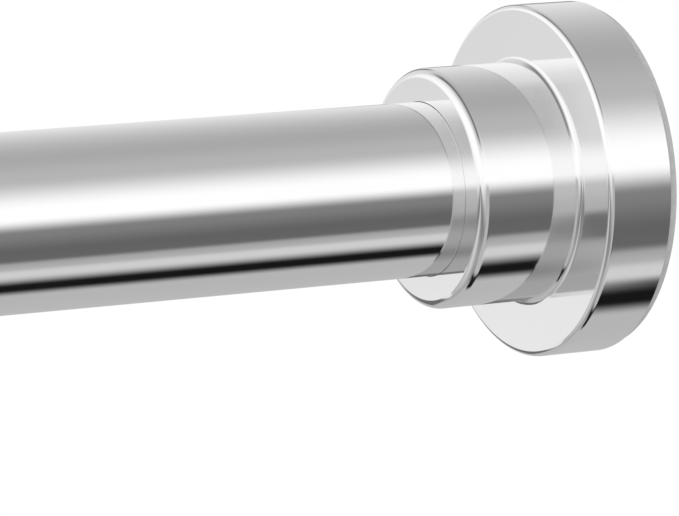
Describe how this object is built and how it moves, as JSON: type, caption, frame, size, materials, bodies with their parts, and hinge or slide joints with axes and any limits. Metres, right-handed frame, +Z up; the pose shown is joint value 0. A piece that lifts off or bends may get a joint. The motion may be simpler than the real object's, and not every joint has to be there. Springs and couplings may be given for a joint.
{
  "type": "spring tension rod",
  "caption": "Straight chromed telescoping rod that holds itself between walls: padded stepped cap at each end, inner spring and screw bar.",
  "frame": {"origin": "centre of the fixed end's wall face, on the rod's axis", "axes": "+X is the outward normal of the fixed end's wall face, so the rod runs along -X into the room; +Z is up"},
  "size_m": [0.4318, 0.0518, 0.0518],
  "materials": {
    "chrome": "bright polished chrome plating",
    "pad_rubber": "matt light grey rubber",
    "plastic": "moulded off-white plastic",
    "steel": "zinc-plated steel",
    "spring_steel": "plain drawn spring wire"
  },
  "bodies": {
    "fixed_tube": {"cover_fixed": "chrome", "base_fixed": "plastic", "pad_fixed": "pad_rubber", "cap_screw": "steel", "plug_fixed": "plastic", "outer_tube": "chrome", "mouth_bush": "plastic", "seat_washer": "steel", "press_spring": "spring_steel", "guide_plug": "plastic"},
    "bar": {"threaded_bar": "steel", "spring_follower": "plastic", "follower_pin": "steel", "stop_washer": "steel", "stop_screw": "steel"},
    "sliding_cap": {"cover_sliding": "chrome", "base_sliding": "plastic", "pad_sliding": "pad_rubber", "swivel_washer": "steel"},
    "thin_tube": {"inner_tube": "chrome", "nut_plug": "plastic", "plug_sliding": "plastic", "swivel_screw": "steel"}
  },
  "joints": [
    {"name": "press", "type": "slide", "parent": "fixed_tube", "child": "bar", "axis": [1, 0, 0], "range_m": [0, 0.02], "stiffness_N_per_m": 5000, "springref_m": -0.01, "deforming": ["press_spring"]},
    {"name": "extend", "type": "slide", "parent": "bar", "child": "sliding_cap", "axis": [-1, 0, 0], "range_m": [-0.0254, 0.1778]},
    {"name": "twist", "type": "hinge", "parent": "sliding_cap", "child": "thin_tube", "pos_m": [-0.4, 0, 0], "axis": [-1, 0, 0], "range_deg": [-2286, 16002]}
  ],
  "couplings": [
    {"joint": "twist", "follows": "extend", "rad_per_m": 1570.8}
  ]
}
